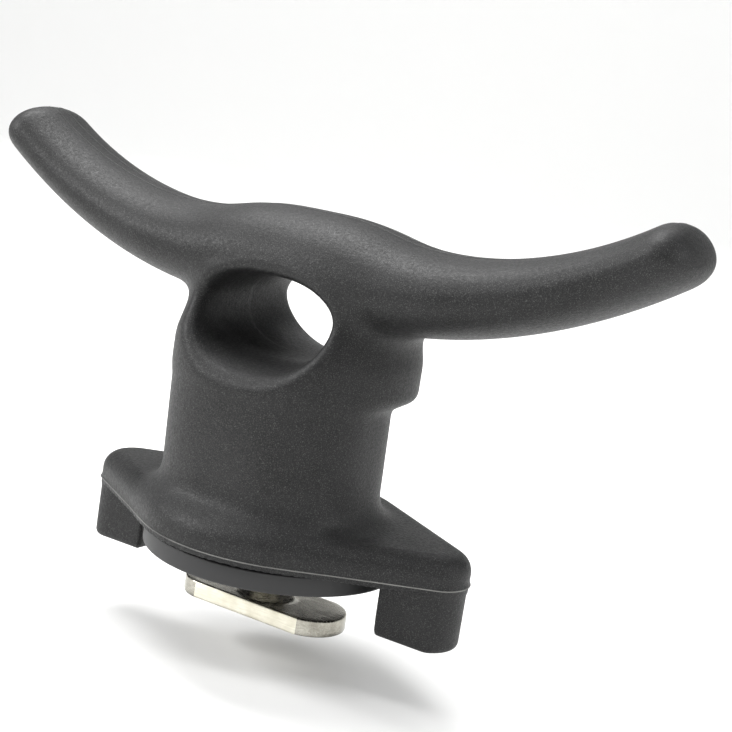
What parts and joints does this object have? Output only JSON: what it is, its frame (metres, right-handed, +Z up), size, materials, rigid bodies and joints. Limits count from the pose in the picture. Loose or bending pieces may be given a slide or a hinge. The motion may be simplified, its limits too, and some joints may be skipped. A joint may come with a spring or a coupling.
{
  "type": "track cleat horn",
  "caption": "Two-horned boat cleat with a line eye, on a rubber pad and two feet, held to an accessory track by a spring-loaded T-bolt.",
  "frame": {"origin": "centre of the rubber pad's underside, where it sits on the track", "axes": "+Z up out of the track, +X along the horns and across the track, +Y along the track and along the line eye, away from the side with the wide flat front"},
  "size_m": [0.1072, 0.0376, 0.0633],
  "materials": {
    "glass_filled_nylon": "fine pebble moulded black glass-filled nylon",
    "pad_rubber": "smooth satin black rubber",
    "stainless_sheet": "stamped stainless sheet",
    "stainless_head": "blanked stainless plate with rough sheared edges",
    "stainless_turned": "turned stainless steel",
    "spring_wire": "drawn stainless spring wire",
    "acetal": "natural white acetal",
    "nylon_ring": "dyed nylon",
    "insert_brass": "turned brass"
  },
  "bodies": {
    "body": {"cleat_body": "glass_filled_nylon", "base_pad": "pad_rubber", "retainer_plate": "stainless_sheet", "guide_bush": "acetal", "spring_seat": "stainless_sheet", "compression_spring": "spring_wire", "plate_screw_1": "stainless_turned", "plate_screw_2": "stainless_turned", "plate_screw_3": "stainless_turned", "threaded_insert_1": "insert_brass", "threaded_insert_2": "insert_brass", "threaded_insert_3": "insert_brass"},
    "tbolt": {"tbolt_head": "stainless_head", "tbolt_shank": "stainless_turned", "spring_cap": "stainless_sheet", "lock_nut": "stainless_turned", "lock_ring": "nylon_ring"}
  },
  "joints": [
    {"name": "tbolt_draw", "type": "slide", "parent": "body", "child": "tbolt", "axis": [0, 0, -1], "range_m": [0, 0.0055], "stiffness_N_per_m": 2500, "springref_m": -0.003, "deforming": ["compression_spring"]}
  ]
}
